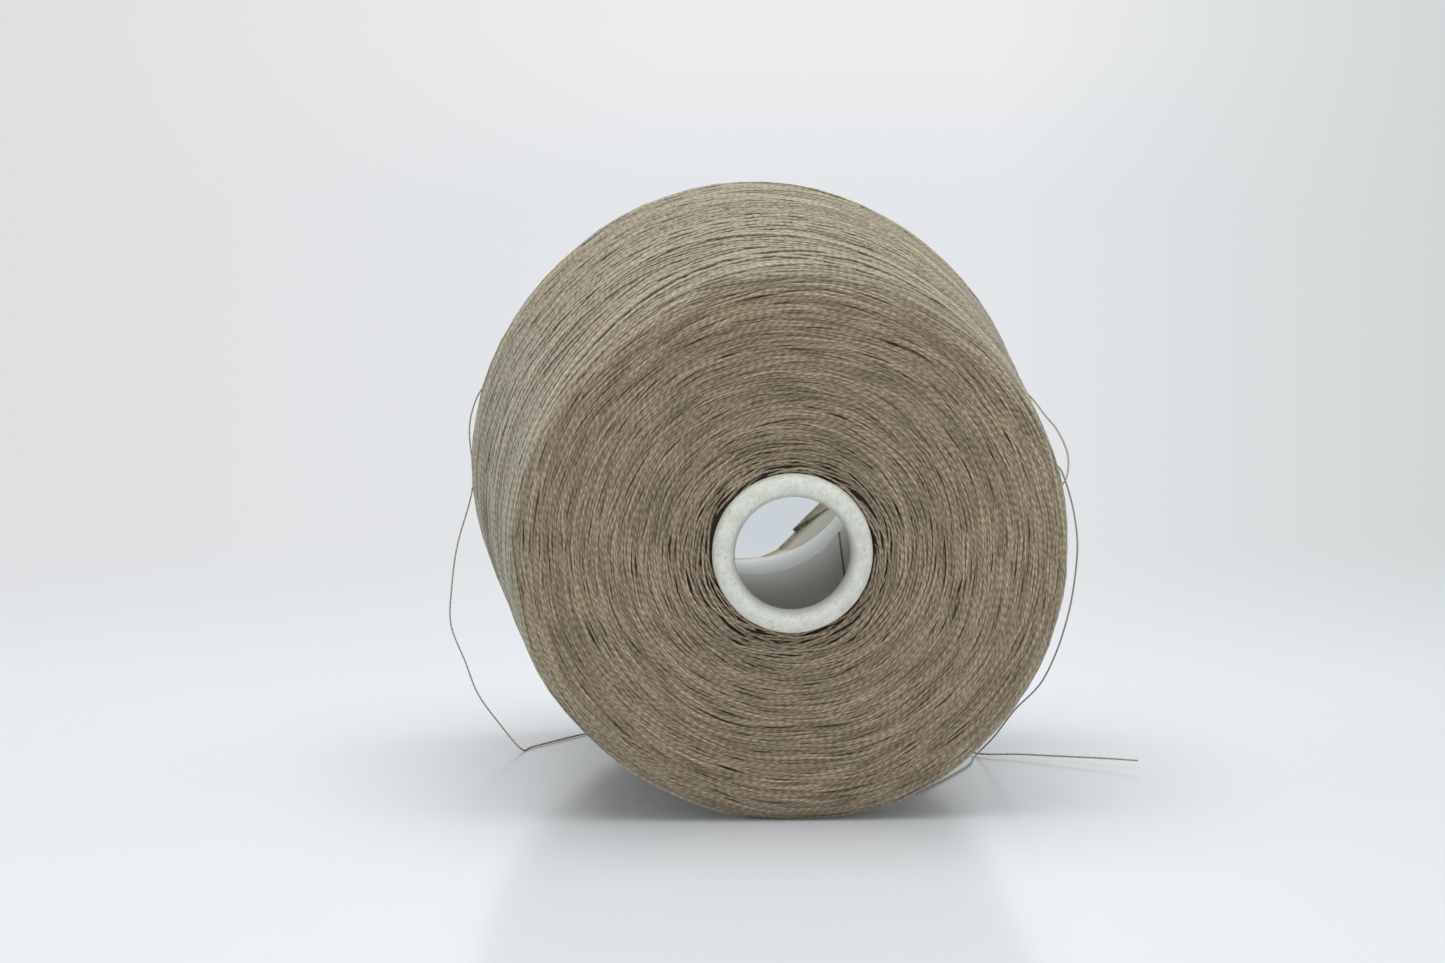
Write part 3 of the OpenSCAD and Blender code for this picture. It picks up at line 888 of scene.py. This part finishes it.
def paper_material(name, colour, dark, mottle, specks, relief, inside=None, seam=None):
    """Pressed paper. inside is the colour of the bare board in the bore, also painted as shade on
    the lip's inner face, and seam the angle of a lapped edge that gets a thin line of painted
    shade, in degrees below the right-hand side."""
    material, tree, shader = new_material(name)
    where = node(tree, "ShaderNodeTexCoord").outputs["Object"]
    along, out = along_the_axis(tree, where)
    if inside is not None:
        wall_line = math_node(tree, "MULTIPLY_ADD", along, TAPER, TUBE_NOSE_R / MM - INTO_WALL)
        bore = ramp(tree, math_node(tree, "SUBTRACT", out, wall_line), SOFT_EDGE, -SOFT_EDGE)
        # Painted shade: the lip's inner face, turning from the light, takes half the bare board's
        # colour
        lip_shade = math_node(tree, "MULTIPLY", ramp(tree, out, *LIP_LAND), LIP_SHADE_SHARE)
        bare_bore = math_node(tree, "MULTIPLY", bore, ramp(tree, along, *BARE_AT))
        # Painted shade darkens the bore towards its far end
        bore_end_shade = math_node(tree, "MULTIPLY", bore, ramp(tree, along, *BORE_END_SHADE_AT))
        for share, under in ((lip_shade, inside), (bare_bore, inside), (bore_end_shade, BORE_END_SHADE)):
            colour = mix_colour(tree, share, colour, under)
    cloud = grain(tree, where, CLOUD_SCALE, CLOUD_DETAIL, PULP_ROUGHNESS)
    fibre = grain(tree, where, FIBRE_SCALE, FIBRE_DETAIL, PULP_ROUGHNESS)
    dots = node(tree, "ShaderNodeTexVoronoi", {"Vector": where, "Scale": SPECK_SCALE})
    for share in (ramp(tree, cloud, CLOUD_FROM, CLOUD_TO, 0.0, mottle),
                  ramp(tree, fibre, FIBRE_FROM, FIBRE_TO, 0.0, mottle),
                  ramp(tree, dots.outputs["Distance"], SPECK_R, SPECK_EDGE, specks, 0.0)):
        colour = mix_colour(tree, share, colour, dark)
    if seam is not None:
        # A thin line of painted shade along the grey ply's lapped edge, on the right-hand side only
        seam_way = math.cos(math.radians(seam)) * UPWARD + math.sin(math.radians(seam)) * ACROSS
        off_seam = vector_value(tree, "DOT_PRODUCT", from_the_nose(tree, where), seam_way)
        off_seam = math_node(tree, "ABSOLUTE", math_node(tree, "DIVIDE", off_seam, MM))
        to_the_right = node(tree, "ShaderNodeSeparateXYZ", {0: where}).outputs[0]
        right_hand = ramp(tree, to_the_right, 0.0, 2 * SOFT_EDGE * MM)
        seam_shade = ramp(tree, off_seam, SEAM_SHADE_HALF, SEAM_SHADE_EDGE, SEAM_SHADE_SHARE, 0.0)
        colour = mix_colour(tree, math_node(tree, "MULTIPLY", right_hand, seam_shade), colour, SEAM_SHADE)
    tree.links.new(colour, shader.inputs["Base Color"])
    join(tree, PAPER_ROUGHNESS, shader.inputs["Roughness"])
    bump = node(tree, "ShaderNodeBump", {"Strength": relief, "Distance": PAPER_RELIEF_DEPTH,
                                         "Height": fibre})
    tree.links.new(bump.outputs[0], shader.inputs["Normal"])
    return material


# %% Dress the paper
board_finish = paper_material("off_white_board", paint(243, 243, 232), paint(182, 174, 148),
                              mottle=0.34, specks=0.45, relief=0.45, inside=paint(170, 167, 156))
light_finish = paper_material("light_grey_paper", paint(186, 190, 190), paint(152, 158, 160),
                              mottle=0.3, specks=0.1, relief=0.3)
grey_finish = paper_material("dark_grey_paper", paint(172, 171, 158), paint(132, 131, 122),
                             mottle=0.3, specks=0.2, relief=0.4, seam=SEAM_AT)
for node_name, finish in (("paper_tube", board_finish), ("light_ply", light_finish),
                          ("grey_ply", grey_finish)):
    dress((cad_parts[node_name],), finish)

# %% [markdown]
# ## Stage and light
#
# The table is one pale sheet, flat round the package, that sweeps up well behind it. Near the
# package it is a satin surface that takes its shadow, under a small share of painted glow that
# lightens that shadow. Further off, to the back and all round, it fades into a bright backdrop,
# painted darker towards the left, lower down and most to the right as painted falloff of light,
# and with a patch of painted shade right behind the package. Only the camera's rays, and those
# that a shiny or clear surface turns aside, see that brightness, so it throws no diffuse light
# on the package.

# %% Sheet
# The front edge's two corners, and the moves that carry the edge back and then up, in metres.
# The short second move keeps the flat part flat where the smooth shading starts to turn
FRONT_EDGE = ((-3, -6, 0), (3, -6, 0))
SWEEP = ((0, 6.9, 0), (0, 0.1, 0), (0, 0.35, 0.08), (0, 0.25, 0.27), (0, 0.08, 0.6), (0, 0, 2.6))


def stage_sheet():
    """The floor and backdrop as one sheet: an edge extruded back, then up."""
    bm = bmesh.new()
    edge = [bm.edges.new([bm.verts.new(corner) for corner in FRONT_EDGE])]
    for move in SWEEP:
        grown = bmesh.ops.extrude_edge_only(bm, edges=edge)["geom"]
        verts = [g for g in grown if isinstance(g, bmesh.types.BMVert)]
        bmesh.ops.translate(bm, verts=verts, vec=move)
        edge = [g for g in grown if isinstance(g, bmesh.types.BMEdge)
                and all(v in verts for v in g.verts)]
    bmesh.ops.recalc_face_normals(bm, faces=bm.faces)
    mesh = bpy.data.meshes.new("studio_sheet")
    bm.to_mesh(mesh)
    bm.free()
    mesh.shade_smooth()
    sheet = bpy.data.objects.new("studio_sheet", mesh)
    bpy.context.scene.collection.objects.link(sheet)
    return sheet


studio_sheet = stage_sheet()

# %% Finish of the sheet
TABLE = paint(228, 229, 231)
TABLE_ROUGHNESS, TABLE_SPECULAR = 0.16, 0.16
# Metres from the origin: where the fade starts and is full, to the back and all round
FADE_BACK, FADE_ROUND = (0.16, 0.75), (0.6, 1.6)
# Even near the package this share of the backdrop's glow lies over the table for those rays, a
# painted light that lightens the package's shadow
TABLE_GLOW = 0.08
# The backdrop's glow, with painted falloff of light: darker to the left, lower down and most to the
# right. The last colour is painted shade behind the package
BACKDROP_LEFT = paint(223, 224, 226)
BACKDROP_MIDDLE = paint(236, 237, 239)
BACKDROP_LOW = paint(228, 231, 234)
BACKDROP_RIGHT = paint(208, 213, 213)
BACKDROP_SHADE_BEHIND = paint(201, 209, 214)
# Where one backdrop colour turns into the next, in metres aside or above at one metre's depth
LEFT_TO_MIDDLE, MIDDLE_TO_RIGHT, LOW_TO_MIDDLE = (-0.22, 0.03), (0.16, 0.36), (0.06, 0.125)
NEAREST_DEPTH = 0.25
# The patch of painted shade on the backdrop behind the bore: how far above its axis, and how wide
# at one metre's depth
SHADE_PATCH_ABOVE = 5.5 * MM
SHADE_PATCH_R, SHADE_PATCH_EDGE = 0.026, 0.034
# At a strength of 1 a glow shows its colour as it is painted
AS_PAINTED = 1.0


def backdrop_rays(tree):
    """1 for the rays that see the backdrop as it is painted: the camera's, and those that a
    shiny or clear surface turns aside."""
    rays = node(tree, "ShaderNodeLightPath").outputs
    turned = math_node(tree, "MAXIMUM", rays["Is Glossy Ray"], rays["Is Transmission Ray"])
    return math_node(tree, "MAXIMUM", rays["Is Camera Ray"], turned)


def sheet_material():
    """A satin table that turns, for backdrop_rays only, into a bright backdrop further off, and
    keeps a small share of that glow near the package as painted light over its shadow.
    """
    material, tree, shader = new_material("pale_table")
    where = node(tree, "ShaderNodeTexCoord").outputs["Object"]
    x, y, z = node(tree, "ShaderNodeSeparateXYZ", {0: where}).outputs
    join(tree, TABLE, shader.inputs["Base Color"])
    join(tree, TABLE_ROUGHNESS, shader.inputs["Roughness"])
    join(tree, TABLE_SPECULAR, shader.inputs["Specular IOR Level"])
    depth = math_node(tree, "MAXIMUM", math_node(tree, "SUBTRACT", y, CAMERA_AT.y), NEAREST_DEPTH)
    aside = math_node(tree, "DIVIDE", math_node(tree, "SUBTRACT", x, CAMERA_AT.x), depth)
    above = math_node(tree, "DIVIDE", math_node(tree, "SUBTRACT", z, CAMERA_AT.z), depth)
    middle = mix_colour(tree, ramp(tree, above, *LOW_TO_MIDDLE), BACKDROP_LOW, BACKDROP_MIDDLE)
    colour = mix_colour(tree, ramp(tree, aside, *LEFT_TO_MIDDLE), BACKDROP_LEFT, middle)
    colour = mix_colour(tree, ramp(tree, aside, *MIDDLE_TO_RIGHT), colour, BACKDROP_RIGHT)
    # Painted shade: the backdrop is darker right behind the package, where it shows through the
    # bore
    bore_line = (NOSE + SHADE_PATCH_ABOVE * UPWARD - CAMERA_AT) / (NOSE.y - CAMERA_AT.y)
    sight_line = node(tree, "ShaderNodeCombineXYZ", {0: aside, 2: above}).outputs[0]
    off_line = vector_value(tree, "DISTANCE", sight_line, (bore_line.x, 0.0, bore_line.z))
    shade_patch = ramp(tree, off_line, SHADE_PATCH_R, SHADE_PATCH_EDGE)
    colour = mix_colour(tree, shade_patch, BACKDROP_SHADE_BEHIND, colour)
    glow = node(tree, "ShaderNodeEmission", {"Color": colour, "Strength": AS_PAINTED})
    seen = backdrop_rays(tree)
    # Near the package the glow keeps a small share, which lightens the shadow as painted light
    away = vector_value(tree, "LENGTH", where)
    far = math_node(tree, "MAXIMUM", ramp(tree, y, *FADE_BACK, TABLE_GLOW, 1.0),
                    ramp(tree, away, *FADE_ROUND))
    blend = node(tree, "ShaderNodeMixShader", {0: math_node(tree, "MULTIPLY", seen, far)})
    tree.links.new(shader.outputs[0], blend.inputs[1])
    tree.links.new(glow.outputs[0], blend.inputs[2])
    tree.links.new(blend.outputs[0], tree.nodes["Material Output"].inputs["Surface"])
    return material


dress((studio_sheet,), sheet_material())

# %% [markdown]
# ### Room and lamps
#
# An even room lights the yarn from all sides, and one large soft box above it gives the soft
# shadow. The far end of the bore would be black without the light that comes in from behind, so
# a small card lamp closes it there. The camera doesn't see that card.

# %% Room
ROOM_LIGHT, ROOM_COLOUR = 0.62, paint(238, 249, 255)


def studio_room():
    """An even room light. Past the sheet's edges it is seen in the backdrop's own colour."""
    world = bpy.data.worlds.new("studio_room")
    world.use_nodes = True
    tree = world.node_tree
    room = tree.nodes["Background"]
    join(tree, ROOM_COLOUR, room.inputs["Color"])
    join(tree, ROOM_LIGHT, room.inputs["Strength"])
    backdrop = node(tree, "ShaderNodeBackground", {"Color": BACKDROP_LEFT,
                                                   "Strength": AS_PAINTED})
    blend = node(tree, "ShaderNodeMixShader", {0: backdrop_rays(tree), 1: room.outputs[0],
                                               2: backdrop.outputs[0]})
    tree.links.new(blend.outputs[0], tree.nodes["World Output"].inputs["Surface"])
    return world


bpy.context.scene.world = studio_room()
print("room light", ROOM_LIGHT)

# %% Lamps
SOFT_BOX_SIZE, SOFT_BOX_POWER = 1.4, 15.0
SOFT_BOX_AT, SOFT_BOX_AIM = (0.0, -0.12, 1.3), (0, 0, 0.05)
CARD_SIZE, CARD_POWER = 0.06, 0.0175
CARD_BEHIND = 0.012
CARD_SPREAD = math.radians(150)


def soft_lamp(name, size, power, at, towards):
    """A square soft box that points at a place."""
    data = bpy.data.lights.new(name, "AREA")
    data.shape = "SQUARE"
    data.size = size
    data.energy = power
    lamp = bpy.data.objects.new(name, data)
    lamp.location = at
    lamp.rotation_euler = (Vector(towards) - Vector(at)).to_track_quat("-Z", "Y").to_euler()
    bpy.context.scene.collection.objects.link(lamp)
    print(name, "gives", power, "W")
    return lamp


soft_lamp("overhead_soft_box", SOFT_BOX_SIZE, SOFT_BOX_POWER, SOFT_BOX_AT, SOFT_BOX_AIM)
bore_end = NOSE + TUBE_LENGTH * ALONG
bore_card = soft_lamp("card_behind_the_bore", CARD_SIZE, CARD_POWER,
                      bore_end + CARD_BEHIND * ALONG, bore_end)
bore_card.data.spread = CARD_SPREAD
bore_card.visible_camera = False

bpy.context.scene.view_settings.view_transform = "Standard"
